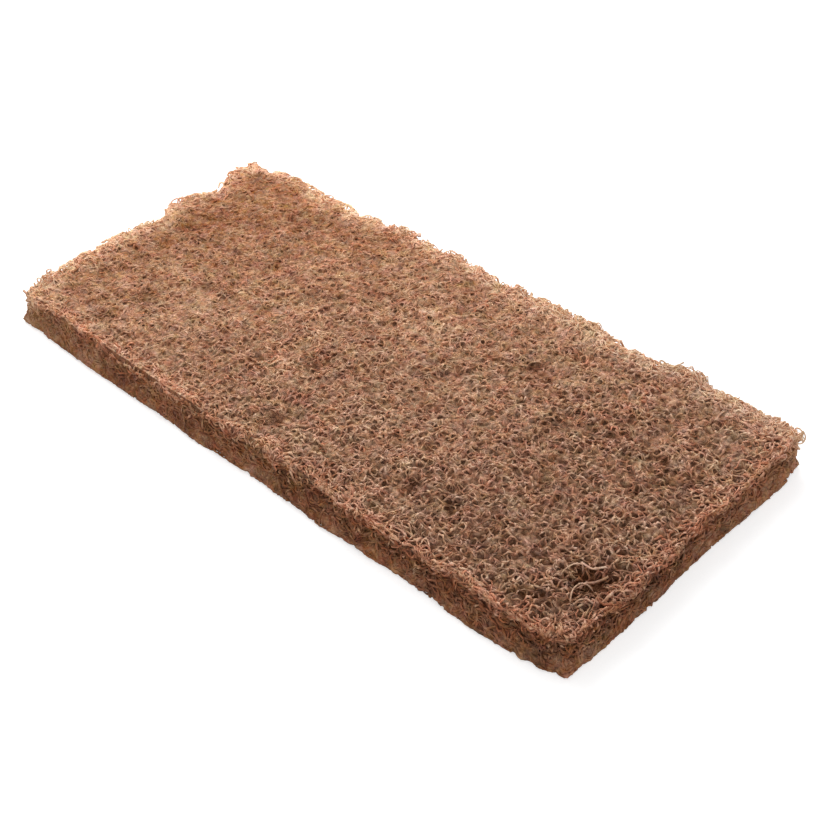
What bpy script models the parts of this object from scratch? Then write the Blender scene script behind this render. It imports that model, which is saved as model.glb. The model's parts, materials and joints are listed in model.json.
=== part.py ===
"""A scouring pad: one thick slab of coarse non-woven fibre, cut to a rectangle.

X runs along the pad, Y across it and Z up. The pad lies on its underside, on the plane z = 0,
and the origin is under the middle of its outline. The fibres are crimped, tangled and bonded
where they cross, so the whole slab is one piece, with no core, backing or skin. Its faces are
lumps and pits of fibre, its cut sides show the layers of the web, and its rims are ragged.
"""
import math

import bmesh
import bpy
from mathutils import Vector, noise

# Driving dimensions, in metres
LENGTH = 0.254
WIDTH = 0.1143
THICKNESS = 0.014

# The mesh: size of one cell, and rows of cells up each side
CELL = 0.0038
SIDE_ROWS = 4

# Top face: broad lumps, pits between bundles of fibre, and one deep pit near a corner
LUMP_HEIGHT = 0.0009
LUMP_SIZE = 0.017
PIT_DEPTH = 0.0030
PIT_SIZE = 0.0046
TANGLE = 0.0011
HOLE_DEPTH = 0.0032
HOLE_RADIUS = 0.0065
HOLE_FROM_END = 0.0113
HOLE_FROM_SIDE = 0.025

# Underside: flat where it rests, with shallow pits that go up into it
REST_PIT_DEPTH = 0.0034
REST_PIT_SIZE = 0.0066
REST_SHARE = 0.16

# Sides: a waist between the rims, long streaks of the layers, and ragged rims. The cut of the
# front side leans, so its upper rim is set back from its foot.
FRONT_SET_BACK = 0.0022
WAIST = 0.0008
STREAK_DEPTH = 0.0011
STREAK_LENGTH = 0.016
RAGGED_DEPTH = 0.0016
RAGGED_SIZE = 0.0052
RIM_DROP = 0.0003
RIM_LIFT = 0.0004
RIM_REACH = 0.0075
RIM_EVENNESS = 0.8
CORNER_CUT = 0.0004
CORNER_REACH = 0.0065
EDGE_REACH = 0.020

# How far each cut edge stands out from the rectangle, in metres, at shares of its half length
BACK_EDGE = (
    (-1.00, 0.0006), (-0.92, 0.0004), (-0.80, 0.0026), (-0.58, 0.0008), (-0.44, 0.0028),
    (-0.20, 0.0036), (0.00, 0.0027), (0.34, 0.0026), (0.47, -0.0004), (0.56, -0.0002),
    (0.64, 0.0034), (0.73, 0.0004), (0.86, -0.0002), (1.00, 0.0006),
)
FRONT_EDGE = (
    (-1.00, -0.0006), (-0.60, 0.0008), (-0.50, 0.0016), (-0.36, 0.0007), (-0.20, 0.0016),
    (0.00, 0.0009), (0.30, 0.0022), (0.55, 0.0020), (0.77, 0.0032), (0.90, 0.0022), (1.00, 0.0003),
)
LEFT_END = (
    (-1.00, 0.0006), (-0.80, -0.0012), (-0.62, 0.0006), (-0.50, 0.0016), (-0.05, 0.0022),
    (0.12, -0.0006), (0.30, 0.0036), (0.45, 0.0012), (0.61, -0.0034), (0.78, 0.0034), (1.00, 0.0020),
)
RIGHT_END = ((-1.00, 0.0002), (-0.50, 0.0008), (-0.20, 0.0002), (0.55, -0.0002), (0.85, -0.0006), (1.00, -0.0010))

PAD_COLOUR = (0.300, 0.155, 0.092, 1.0)
PAD_ROUGHNESS = 0.85


def clear_scene():
    """Remove every object of the open scene."""
    for old in list(bpy.data.objects):
        bpy.data.objects.remove(old, do_unlink=True)


def ease(share):
    """Ease a share from 0 to 1, level at both ends."""
    share = min(max(share, 0.0), 1.0)
    return share * share * (3.0 - 2.0 * share)


def edge_wave(points, share):
    """How far an edge stands out at a share of its half length, eased between its points."""
    for (start, before), (end, after) in zip(points, points[1:]):
        if share <= end:
            return before + (after - before) * ease((share - start) / (end - start))
    return points[-1][1]


def ripple(x, y, z, size, seed):
    """Smooth noise between about -1 and 1, with waves of about twice the given size."""
    return noise.noise(Vector((x / size, y / size, z / size + seed)))


def side_of(share):
    """Which side of the middle a share is on: 1 or -1."""
    return math.copysign(1.0, share)


def outline_shift(u, v):
    """Move a point of the flat rectangle, at shares u and v of its half sides, to the cut outline."""
    x_gap = (1.0 - abs(u)) * LENGTH / 2
    y_gap = (1.0 - abs(v)) * WIDTH / 2
    end_wave = edge_wave(RIGHT_END if u > 0 else LEFT_END, v)
    side_wave = edge_wave(BACK_EDGE if v > 0 else FRONT_EDGE, u)
    corner = CORNER_CUT * ease(1.0 - x_gap / CORNER_REACH) * ease(1.0 - y_gap / CORNER_REACH)
    out_x = end_wave * ease(1.0 - x_gap / EDGE_REACH) - corner
    out_y = side_wave * ease(1.0 - y_gap / EDGE_REACH) - corner
    return side_of(u) * out_x, side_of(v) * out_y


def top_dip(x, y):
    """Depth of the top face under its highest fibres: lumps, pits and the deep pit."""
    lump = LUMP_HEIGHT * (0.5 - 0.5 * ripple(x, y, 0.0, LUMP_SIZE, 3.1))
    pit = PIT_DEPTH * max(0.0, 0.25 + ripple(x, y, 0.0, PIT_SIZE, 11.7))
    hole_x = LENGTH / 2 - HOLE_FROM_END
    hole_y = HOLE_FROM_SIDE - WIDTH / 2
    away = math.hypot(x - hole_x, y - hole_y)
    return lump + pit + HOLE_DEPTH * ease(1.0 - away / HOLE_RADIUS)


def rest_lift(x, y):
    """Height of the underside over the plane it rests on, nought on its flat places."""
    return REST_PIT_DEPTH * max(0.0, ripple(x, y, 0.0, REST_PIT_SIZE, 23.9) - REST_SHARE)


def side_shift(x, y, w):
    """How far a point of a cut side stands out, at a share w of the height: waist, layers, rags."""
    waist = -WAIST * math.sin(math.pi * w)
    along = x + y if x * y < 0 else x - y
    layer = STREAK_DEPTH * noise.noise(Vector((along / STREAK_LENGTH, w * SIDE_ROWS, 41.3)))
    rags = RAGGED_DEPTH * ripple(x, y, w * THICKNESS, RAGGED_SIZE, 57.9)
    return waist + layer + rags


def place(u, v, w):
    """Where a point of the unit block goes: u and v run from -1 to 1, and w from 0 to 1."""
    shift_x, shift_y = outline_shift(u, v)
    x = u * LENGTH / 2 + shift_x
    y = v * WIDTH / 2 + shift_y
    stand_out = side_shift(x, y, w)
    if abs(u) == 1.0:
        x += side_of(u) * stand_out
    if abs(v) == 1.0:
        y += side_of(v) * stand_out
    if v == -1.0:
        y += FRONT_SET_BACK * w
    gap = min((1.0 - abs(u)) * LENGTH / 2, (1.0 - abs(v)) * WIDTH / 2)
    rim = (1.0 - min(gap / RIM_REACH, 1.0)) ** 2
    top = THICKNESS - top_dip(x, y) * (1.0 - RIM_EVENNESS * rim) - RIM_DROP * rim
    bottom = rest_lift(x, y) + RIM_LIFT * rim
    tangle = noise.noise_vector(Vector((x / CELL, y / CELL, w))) * TANGLE * (1.0 - rim)
    return Vector((x + tangle.x, y + tangle.y, bottom + (top - bottom) * w))


def divide_edges(mesh, axis, cuts):
    """Cut every edge that runs along one axis into equal lengths."""
    across = [(axis + 1) % 3, (axis + 2) % 3]
    edges = []
    for edge in mesh.edges:
        first, second = (vert.co for vert in edge.verts)
        if all(abs(first[i] - second[i]) < 1e-6 for i in across):
            edges.append(edge)
    bmesh.ops.subdivide_edges(mesh, edges=edges, cuts=cuts, use_grid_fill=True)


def block_of_cells():
    """A closed block from -1 to 1 in X and Y and from 0 to 1 in Z, divided into even cells."""
    mesh = bmesh.new()
    bmesh.ops.create_cube(mesh, size=2.0)
    for vert in mesh.verts:
        vert.co.z = (vert.co.z + 1.0) / 2
    divide_edges(mesh, 0, round(LENGTH / CELL) - 1)
    divide_edges(mesh, 1, round(WIDTH / CELL) - 1)
    divide_edges(mesh, 2, SIDE_ROWS - 1)
    return mesh


def snap(share):
    """Give a share at the very edge of the block its exact value."""
    return side_of(share) if abs(share) > 1.0 - 1e-5 else share


def centre_and_seat(mesh):
    """Move the shape so that its outline is centred on the origin and its lowest point is at z = 0."""
    lowest = [min(vert.co[i] for vert in mesh.verts) for i in range(3)]
    highest = [max(vert.co[i] for vert in mesh.verts) for i in range(3)]
    middle = Vector(((lowest[0] + highest[0]) / 2, (lowest[1] + highest[1]) / 2, lowest[2]))
    bmesh.ops.translate(mesh, verts=mesh.verts, vec=-middle)


def pad_material():
    """Brown fibre, dull all over."""
    material = bpy.data.materials.new("fibre_web")
    material.use_nodes = True
    shader = material.node_tree.nodes["Principled BSDF"]
    shader.inputs["Base Color"].default_value = PAD_COLOUR
    shader.inputs["Roughness"].default_value = PAD_ROUGHNESS
    shader.inputs["Metallic"].default_value = 0.0
    return material


def make_pad(collection):
    """The bonded slab of fibre, the pad's only piece."""
    mesh = block_of_cells()
    for vert in mesh.verts:
        vert.co = place(snap(vert.co.x), snap(vert.co.y), vert.co.z)
    centre_and_seat(mesh)
    bmesh.ops.recalc_face_normals(mesh, faces=mesh.faces)
    data = bpy.data.meshes.new("fibre_pad")
    mesh.to_mesh(data)
    mesh.free()
    data.shade_smooth()
    data.materials.append(pad_material())
    pad = bpy.data.objects.new("fibre_pad", data)
    collection.objects.link(pad)
    return pad


clear_scene()
scouring_pad = bpy.data.collections.new("scouring_pad")
bpy.context.scene.collection.children.link(scouring_pad)
make_pad(scouring_pad)
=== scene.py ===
# %% [markdown]
# # A scouring pad of coarse brown fibre
# The real pad is a web. Crimped fibres fall on a belt in every direction, resin bonds them where they
# cross, and the cured slab is cut to a rectangle. Seen close, it is all curls, gaps and beads of resin.
# A bumpy slab with a pattern on it would be the cheap way, but it fails at every edge, where the real
# web is open. Here each fibre near the surface is a small closed tube of its own, laid on the measured
# solid. Under the fibres lies a body, the solid itself drawn in by up to a millimetre, that stands for
# the inside of the web.

import json
import math

import bmesh
import bpy
import numpy as np
from mathutils import Matrix, Vector

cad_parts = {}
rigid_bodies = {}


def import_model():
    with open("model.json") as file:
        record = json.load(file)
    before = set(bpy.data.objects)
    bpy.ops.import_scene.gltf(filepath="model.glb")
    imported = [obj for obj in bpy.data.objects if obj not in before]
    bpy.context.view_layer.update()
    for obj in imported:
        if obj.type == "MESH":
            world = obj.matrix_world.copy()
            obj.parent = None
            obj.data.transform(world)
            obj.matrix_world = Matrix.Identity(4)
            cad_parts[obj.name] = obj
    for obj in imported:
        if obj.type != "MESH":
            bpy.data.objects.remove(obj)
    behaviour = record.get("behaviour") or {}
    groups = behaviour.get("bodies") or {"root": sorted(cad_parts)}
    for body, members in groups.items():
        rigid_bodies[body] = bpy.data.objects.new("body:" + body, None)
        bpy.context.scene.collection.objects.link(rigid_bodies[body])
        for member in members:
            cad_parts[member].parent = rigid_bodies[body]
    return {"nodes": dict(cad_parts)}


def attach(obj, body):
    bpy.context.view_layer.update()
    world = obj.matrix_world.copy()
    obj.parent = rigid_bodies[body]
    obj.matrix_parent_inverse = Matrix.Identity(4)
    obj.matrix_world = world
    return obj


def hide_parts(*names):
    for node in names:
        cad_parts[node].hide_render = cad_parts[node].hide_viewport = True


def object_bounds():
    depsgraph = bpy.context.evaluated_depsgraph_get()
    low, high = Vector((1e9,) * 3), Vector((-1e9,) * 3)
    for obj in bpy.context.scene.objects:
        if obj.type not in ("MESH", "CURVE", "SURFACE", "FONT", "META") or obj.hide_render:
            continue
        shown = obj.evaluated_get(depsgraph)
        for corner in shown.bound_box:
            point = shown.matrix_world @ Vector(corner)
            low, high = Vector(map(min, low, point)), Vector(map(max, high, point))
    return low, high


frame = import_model()
solid = frame["nodes"]["fibre_pad"]
cad_low, cad_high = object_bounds()
print("solid, mm:", [round(1000 * (high - low), 1) for low, high in zip(cad_low, cad_high)])

# %% [markdown]
# ## The camera
# The photograph looks down on a corner of the pad. Its place was fitted to the corners and edges that
# the picture shows, so it is written here as a place, two angles and a small lean to one side. The focal
# length was fitted in pixels of the picture, and Blender wants it in millimetres on its sensor.

# %% Stand the camera where the photographer stood
CAMERA_PLACE = (0.30873, -0.27647, 0.32911)
AZIMUTH = 46.48
ELEVATION = 39.74
LEAN = -3.85
FOCAL_PIXELS = 1575.5
PICTURE_PIXELS = 840
SENSOR = 36.0


def aim(azimuth, elevation, lean):
    """Rotation that looks along an azimuth and down by an elevation, leaning about the view's axis."""
    around = math.radians(azimuth)
    down = math.radians(elevation)
    back = Vector((math.sin(around) * math.cos(down), -math.cos(around) * math.cos(down), math.sin(down)))
    return (-back).to_track_quat("-Z", "Y") @ Matrix.Rotation(math.radians(lean), 3, "Z").to_quaternion()


camera = bpy.data.objects.new("camera", bpy.data.cameras.new("camera"))
bpy.context.scene.collection.objects.link(camera)
camera.data.sensor_width = SENSOR
camera.data.lens = FOCAL_PIXELS * SENSOR / PICTURE_PIXELS
camera.location = CAMERA_PLACE
camera.rotation_mode = "QUATERNION"
camera.rotation_quaternion = aim(AZIMUTH, ELEVATION, LEAN)
bpy.context.scene.camera = camera
print("lens, mm:", round(camera.data.lens, 1))

# %% [markdown]
# ## Meshes from arrays
# Every new piece is worked out as whole numpy arrays. Two helpers turn them into Blender objects: one
# lists the faces between neighbouring points of a grid, and one fills a mesh with foreach_set, which
# takes an array at once and is quick even for many thousands of faces.

# %% Grid faces and mesh objects
def grid_faces(rows, columns, closed=False):
    """Four-cornered faces between neighbours of a grid; closed also joins the last row to the first."""
    row = np.arange(rows if closed else rows - 1)[:, None] * columns
    after = (row + columns) % (rows * columns)
    column = np.arange(columns - 1)[None, :]
    corners = [row + column, after + column, after + column + 1, row + column + 1]
    return np.stack(corners, axis=-1).reshape(-1, 4)


def mesh_object(name, points, face_sets):
    """A smooth object from points and sets of faces; each set is an array with one face in a row."""
    points = points.reshape(-1, 3)
    corners = np.concatenate([faces.ravel() for faces in face_sets])
    sizes = np.concatenate([np.full(len(faces), faces.shape[1]) for faces in face_sets])
    mesh = bpy.data.meshes.new(name)
    mesh.vertices.add(len(points))
    mesh.vertices.foreach_set("co", points.ravel())
    mesh.loops.add(len(corners))
    mesh.loops.foreach_set("vertex_index", corners)
    mesh.polygons.add(len(sizes))
    mesh.polygons.foreach_set("loop_start", np.cumsum(sizes) - sizes)
    mesh.update(calc_edges=True)
    mesh.shade_smooth()
    piece = bpy.data.objects.new(name, mesh)
    bpy.context.scene.collection.objects.link(piece)
    return piece


# %% [markdown]
# ## Two curves
# Most shares in this file are one of two curves. A ramp goes evenly from 0 at one value to 1 at another,
# and stays level past both. A bell is 1 at distance nought and is almost gone at twice its reach.

# %% A ramp and a bell
def ramp(value, low, high):
    """The share (value - low) / (high - low), held between 0 and 1; low may be the greater."""
    return np.clip((value - low) / (high - low), 0, 1)


def bell(distance, reach):
    """The share exp(-(distance / reach)^2)."""
    return np.exp(-(distance / reach) ** 2)


# %% [markdown]
# ## Measuring the solid
# The fibres have to follow the solid's lumps, pits and ragged sides. A flat grid is dropped on its top,
# another is lifted to its underside, and a band is wrapped round its sides. Blender's Shrinkwrap
# modifier does the measuring: in Project mode it slides each point against its normal until it meets
# the solid. A point that meets nothing, or only a ledge of a side, then takes its neighbours' mean.

# %% Slide grids on to the solid
GRID_STEP = 0.002
STAND_OFF = 0.005
FACE_DEPTH = 0.0065


def slide_on(points, closed=False):
    """Slide a grid of points against their normals on to the solid; misses become not-a-number."""
    probe = mesh_object("probe", points, [grid_faces(*points.shape[:2], closed)])
    wrap = probe.modifiers.new("wrap", "SHRINKWRAP")
    wrap.wrap_method = "PROJECT"
    wrap.use_positive_direction = False
    wrap.use_negative_direction = True
    wrap.target = solid
    found = probe.evaluated_get(bpy.context.evaluated_depsgraph_get()).data
    places = np.empty(points.size)
    found.vertices.foreach_get("co", places)
    bpy.data.objects.remove(probe)
    places = places.reshape(points.shape)
    missed = np.linalg.norm(places - points, axis=-1) < STAND_OFF / 100
    places[missed] = np.nan
    return places


def fill_gaps(heights):
    """Give each missing height the mean of its known neighbours, ring by ring, until none is missing."""
    while np.isnan(heights).any():
        wide = np.pad(heights, 1, constant_values=np.nan)
        around = np.stack([wide[:-2, 1:-1], wide[2:, 1:-1], wide[1:-1, :-2], wide[1:-1, 2:]])
        known = ~np.isnan(around)
        total = np.where(known, around, 0.0).sum(axis=0)
        mean = np.where(known.any(axis=0), total / np.maximum(known.sum(axis=0), 1), np.nan)
        heights = np.where(np.isnan(heights), mean, heights)
    return heights


def measure_face(side):
    """Heights of the top (side 1) or underside (side -1) on a flat grid, as a sheet to lay fibres on."""
    x = np.linspace(cad_low.x, cad_high.x, round((cad_high.x - cad_low.x) / GRID_STEP))
    y = np.linspace(cad_low.y, cad_high.y, round((cad_high.y - cad_low.y) / GRID_STEP))
    level = cad_high.z if side > 0 else cad_low.z
    flat = np.stack(np.meshgrid(x, side * y, [level + side * STAND_OFF], indexing="ij"), axis=-1)[:, :, 0]
    heights = slide_on(flat)[:, :, 2]
    heights[np.abs(heights - level) > FACE_DEPTH] = np.nan
    heights = fill_gaps(heights)
    points = np.concatenate([flat[:, :, :2], heights[:, :, None]], axis=-1)
    if side < 0:
        points = points[:, ::-1]
    normals = np.broadcast_to([0.0, 0.0, float(side)], points.shape)
    return {"points": points, "normals": normals, "along": x, "across": y}


top_face = measure_face(1)
underside = measure_face(-1)
print("top face, mm:", round(1000 * top_face["points"][:, :, 2].min(), 1), "to",
      round(1000 * top_face["points"][:, :, 2].max(), 1))

# %% [markdown]
# ## A band round the sides
# The sides and the two rims are one more sheet. Its path is a rectangle with wide round corners, a
# little outside the pad, so that lines drawn inward from it never cross. The band slides in on to the
# sides, and then reaches over both rims on to the faces, so that fibres can run over a rim and down.
#
# The solid is coarse, so the rags at the foot of its two near sides look like blocks, where the
# photograph shows an even line. The notches between those rags are filled: near the foot, the band and
# the inside of the web move out to most of the depth of each notch.

# %% Wrap a band round the sides and over both rims
BAND_STEP = 0.0013
PATH_RADIUS = 0.016
SIDE_HEIGHTS = np.array([0.0012, 0.0036, 0.0060, 0.0084, 0.0106])
RIM_INSETS = np.array([0.0004, 0.0016, 0.0034, 0.0060, 0.0090])
JUST_OVER_ONE = 1.001


def rounded_path(half_x, half_y, radius, step):
    """Places and outward directions round a rectangle with round corners, anticlockwise. Each corner
    is a quarter circle about a centre one radius in, and straight runs join the quarter circles."""
    places = []
    directions = []
    inner_x = half_x - radius
    inner_y = half_y - radius
    centres = ((inner_x, -inner_y), (inner_x, inner_y), (-inner_x, inner_y), (-inner_x, -inner_y))
    runs = (2 * inner_y, 2 * inner_x, 2 * inner_y, 2 * inner_x)
    for corner, (centre, run) in enumerate(zip(centres, runs)):
        turn = np.linspace(-0.5, 0.0, round(radius * math.pi / 2 / step) + 1) * math.pi + corner * math.pi / 2
        way = np.stack([np.cos(turn), np.sin(turn)], axis=-1)
        length = np.linspace(0.0, run, round(run / step) + 1)[1:-1]
        forward = np.array([-way[-1, 1], way[-1, 0]])
        arc = np.array(centre) + radius * way
        places += [arc, arc[-1] + length[:, None] * forward]
        directions += [way, np.broadcast_to(way[-1], (len(length), 2))]
    return np.concatenate(places), np.concatenate(directions)


def blend_grid(values, row, column, closed=False):
    """Read a grid between its points: the four nearest values, each weighted by how near it is."""
    rows, columns = values.shape[:2]
    if not closed:
        row = np.clip(row, 0, rows - JUST_OVER_ONE)
    column = np.clip(column, 0, columns - JUST_OVER_ONE)
    low_row = np.floor(row).astype(int)
    low_column = np.floor(column).astype(int)
    up = (row - low_row)[..., None]
    right = (column - low_column)[..., None]
    here = low_row % rows
    after = (low_row + 1) % rows
    before = values[here, low_column] * (1 - right) + values[here, low_column + 1] * right
    beyond = values[after, low_column] * (1 - right) + values[after, low_column + 1] * right
    return before * (1 - up) + beyond * up


def sheet_rows(sheet, along, across):
    """Fractional rows and columns of a sheet at distances along and across it."""
    row = (along - sheet["along"][0]) / (sheet["along"][1] - sheet["along"][0])
    column = np.interp(across, sheet["across"], np.arange(len(sheet["across"])))
    return row, column


def face_height(sheet, plan):
    """Height of a flat sheet over places in plan."""
    row, column = sheet_rows(sheet, plan[..., 0], plan[..., 1])
    return blend_grid(sheet["points"], row, column)[..., 2]


def sheet_normals(points):
    """Outward normals of a closed band: the cross product of its two directions, then evened out."""
    forward = np.roll(points, -1, axis=0) - np.roll(points, 1, axis=0)
    normals = np.cross(forward, np.gradient(points, axis=1))
    for _ in range(3):
        normals /= np.linalg.norm(normals, axis=-1, keepdims=True)
        normals = normals + np.roll(normals, 1, axis=0) + np.roll(normals, -1, axis=0)
    return normals / np.linalg.norm(normals, axis=-1, keepdims=True)


def measure_band():
    """The sides and both rims as one closed sheet, from the underside, up the side, to the top face."""
    path, outward = rounded_path(cad_high.x + STAND_OFF, cad_high.y + STAND_OFF, PATH_RADIUS, BAND_STEP)
    wall = np.empty((len(path), len(SIDE_HEIGHTS), 3))
    wall[:, :, :2] = path[:, None]
    wall[:, :, 2] = SIDE_HEIGHTS
    side = slide_on(wall, closed=True)
    columns = [side[:, index] for index in range(len(SIDE_HEIGHTS))]
    for inset in RIM_INSETS:
        low = side[:, 0, :2] - inset * outward
        high = side[:, -1, :2] - inset * outward
        columns.insert(0, np.column_stack([low, face_height(underside, low)]))
        columns.append(np.column_stack([high, face_height(top_face, high)]))
    points = np.stack(columns, axis=1)
    steps = np.linalg.norm(np.diff(points, axis=1), axis=-1).mean(axis=0)
    across = np.concatenate([[0.0], np.cumsum(steps)])
    perimeter = np.linalg.norm(np.diff(side[:, -1], axis=0, append=side[:1, -1]), axis=-1).sum()
    along = np.arange(len(path)) * perimeter / len(path)
    return {"points": points, "normals": sheet_normals(points), "along": along, "across": across}


def edge_line(ring, axis, side):
    """The pad's edge on one side, read from a ring of the band, as two arrays: where along the edge,
    and how far out. axis is 0 for an end and 1 for a long side."""
    reach = np.abs(ring) / [cad_high.x, cad_high.y]
    chosen = ring[(np.sign(ring[:, axis]) == side) & (reach[:, axis] >= reach[:, 1 - axis])]
    chosen = chosen[np.argsort(chosen[:, 1 - axis])]
    return chosen[:, 1 - axis], chosen[:, axis]


NEAR_EDGES = ((1, -1), (0, 1))
NOTCH_WINDOW = 9
NOTCH_REACH = 0.006
NOTCH_ENDS = (0.006, 0.018)
NOTCH_HEIGHTS = (13 / 14, 3 / 14)
NOTCH_FILL = 0.85


def foot_notches(ring, axis, side):
    """How far to fill the foot of one side: most of its depth behind an even line, the greatest reach
    in a window of neighbours, averaged over the same window. It fades out towards both corners."""
    where, out = edge_line(ring, axis, side)
    line = side * out
    for even in (np.max, np.mean):
        line = np.pad(line, NOTCH_WINDOW // 2, mode="edge")
        line = even(np.lib.stride_tricks.sliding_window_view(line, NOTCH_WINDOW), axis=1)
    from_ends = np.minimum(where - where[0], where[-1] - where)
    return where, out, NOTCH_FILL * np.maximum(line - side * out, 0) * ramp(from_ends, *NOTCH_ENDS)


def fill_notches(places):
    """Move places near the foot of the two near sides out by the notch there, times a share that goes
    from 1 at the foot's line to 0 a reach inside it, and from 1 near the ground to 0 under the rim."""
    places = places.copy()
    low = ramp(places[..., 2] / cad_high.z, *NOTCH_HEIGHTS)
    for (axis, side), (where, out, notch) in FOOT_NOTCHES.items():
        inside = side * (np.interp(places[..., 1 - axis], where, out) - places[..., axis])
        share = low * ramp(inside, NOTCH_REACH, 0.0)
        places[..., axis] += side * share * np.interp(places[..., 1 - axis], where, notch)
    return places


band = measure_band()
foot_ring = band["points"][:, len(RIM_INSETS), :2]
FOOT_NOTCHES = {edge: foot_notches(foot_ring, *edge) for edge in NEAR_EDGES}
band["points"] = fill_notches(band["points"])
band["normals"] = sheet_normals(band["points"])
print("deepest notch, mm:", [round(1000 * float(notch.max()), 1) for _, _, notch in FOOT_NOTCHES.values()])
band_length = band["along"][-1] + band["along"][1]
band_width = band["across"][-1]
print("band, mm:", round(1000 * band_length), "round and", round(1000 * band_width, 1), "across;",
      "points missed:", int(np.isnan(band["points"]).sum()))

# %% [markdown]
# ## Crimped fibres
# A crimped fibre wanders: it curls one way and then the other, with a long wave and a short one. On a
# flat sheet its heading is a sum of two sine waves and a slow drift, and its place is the running sum
# of short steps in that heading. Adding up whole arrays makes thousands of fibres at once. A fibre
# that would pass an edge of its sheet is turned back on itself in a round loop, as the real ones do.

# %% Paths on a flat sheet
STEP = 0.00085
FIBRE_POINTS = 27
LONG_WAVES = (0.007, 0.013)
SHORT_WAVES = (0.0034, 0.0056)
LONG_TURN = 1.10
SHORT_TURN = 0.70
DRIFT = 60
FOLD_SOFTNESS = 0.0009


def crimped_paths(random, count, heading, curl):
    """Places along and across a sheet of count fibres about their own middles. The heading at each
    distance is the fibre's own heading plus curl times two sine waves and a drift, and the place is
    the running sum of steps in it."""
    distance = np.arange(FIBRE_POINTS) * STEP
    waves = random.uniform(*LONG_WAVES, (count, 1)), random.uniform(*SHORT_WAVES, (count, 1))
    phases = random.uniform(0, 2 * np.pi, (2, count, 1))
    long_wave = np.sin(2 * np.pi * distance / waves[0] + phases[0])
    short_wave = np.sin(2 * np.pi * distance / waves[1] + phases[1])
    drift = random.normal(0, DRIFT, (count, 1)) * distance
    angle = heading[:, None] + curl * (LONG_TURN * long_wave + SHORT_TURN * short_wave + drift)
    along = np.cumsum(STEP * np.cos(angle), axis=1)
    across = np.cumsum(STEP * np.sin(angle), axis=1)
    return along - along.mean(axis=1, keepdims=True), across - across.mean(axis=1, keepdims=True)


def turn_back(value, limit, side):
    """Fold values that pass a limit (on side 1 above it, on side -1 below it) back by as much as they
    pass it: limit less the root of the squared overshoot plus a softness squared, so the fold is round."""
    return limit - side * np.hypot(value - limit, FOLD_SOFTNESS)


top_ring = band["points"][:, -len(RIM_INSETS), :2]
EDGE_LINES = {(axis, side): edge_line(top_ring, axis, side) for axis in (0, 1) for side in (-1, 1)}
EDGE_MARGINS = {(0, -1): 0.0029, (0, 1): 0.0012, (1, -1): 0.0009, (1, 1): 0.0028}


def keep_inside(x, y):
    """Turn places in plan back at all four edges, a margin past the measured ring. The margin is wider
    at the two far edges, whose fringe overhangs more."""
    for (axis, side), (where, out) in EDGE_LINES.items():
        value, other = (x, y) if axis == 0 else (y, x)
        folded = turn_back(value, np.interp(other, where, out) + side * EDGE_MARGINS[axis, side], side)
        x, y = (folded, y) if axis == 0 else (x, folded)
    return x, y


# %% [markdown]
# ## From a path to a tube
# A tube needs a ring of points at each place along its path. The ring's first spoke is carried forward
# from place to place and squared up to the path again each time, so the tube never twists. Three
# spokes and smooth shading are enough for a fibre 0.7 mm thick. Beads of resin are places
# where the ring is wider. Each tube is closed at both ends, and gets its own strip of the UV map.

# %% Tubes of fibre
SIDES = 3
STEEP = 0.8
STRIP_COLUMNS = 6
STRIP_GAP = 0.08
CAP_U = np.array([[0.2, 0.2, 0.8], [0.2, 0.8, 0.8]])
CAP_V = np.array([[0.1, 0.9, 0.5], [0.1, 0.5, 0.9]])
NEAR_CLOSED = 0.35


def unit(vectors):
    """Vectors divided by their lengths."""
    return vectors / np.maximum(np.linalg.norm(vectors, axis=-1, keepdims=True), 1e-12)


def tube_rings(paths, radii):
    """Rings of points round many paths: place plus radius times (cos a spoke + sin a other), where
    the spoke starts square to the path and is carried along it without twist."""
    forward = unit(np.gradient(paths, axis=1))
    spokes = np.empty_like(paths)
    helper = np.where(np.abs(forward[:, :1, 2:]) < STEEP, [0.0, 0.0, 1.0], [1.0, 0.0, 0.0])[:, 0]
    spoke = unit(np.cross(forward[:, 0], helper))
    for place in range(paths.shape[1]):
        ahead = forward[:, place]
        spoke = unit(spoke - ahead * (spoke * ahead).sum(axis=-1, keepdims=True))
        spokes[:, place] = spoke
    others = np.cross(forward, spokes)
    turn = 2 * np.pi * np.arange(SIDES) / SIDES
    ways = np.cos(turn)[:, None] * spokes[:, :, None] + np.sin(turn)[:, None] * others[:, :, None]
    return paths[:, :, None] + radii[:, :, None, None] * ways


def strip_coordinates(count, points):
    """UV corners of every tube's side faces and end faces: each tube has a strip of its own, laid in
    columns, with the path along the strip and the ring across it, and its two ends in the strip's gaps."""
    number = np.arange(count)[:, None, None]
    left = number % STRIP_COLUMNS
    low = number // STRIP_COLUMNS
    sizes = [STRIP_COLUMNS, math.ceil(count / STRIP_COLUMNS)]
    place = np.arange(points - 1)[None, :, None] + np.zeros((1, 1, SIDES))
    spoke = np.arange(SIDES)[None, None, :] + np.zeros((1, points - 1, 1))
    u = np.stack([place, place, place + 1, place + 1], axis=-1) / (points - 1)
    v = np.stack([spoke, spoke + 1, spoke + 1, spoke], axis=-1) / SIDES
    inner = 1 - 2 * STRIP_GAP
    u = left[..., None] + STRIP_GAP + inner * u
    v = low[..., None] + STRIP_GAP + inner * v
    sides = np.stack([u, v], axis=-1)
    cap_u = CAP_U * STRIP_GAP + [[0], [1 - STRIP_GAP]]
    ends = np.stack([left + cap_u, low + CAP_V], axis=-1)
    return np.concatenate([sides.reshape(-1, 2), ends.reshape(-1, 2)]) / sizes


def point_values(mesh, label, values):
    """Give a mesh one number for each of its points."""
    mesh.attributes.new(label, "FLOAT", "POINT").data.foreach_set("value", values)


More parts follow.
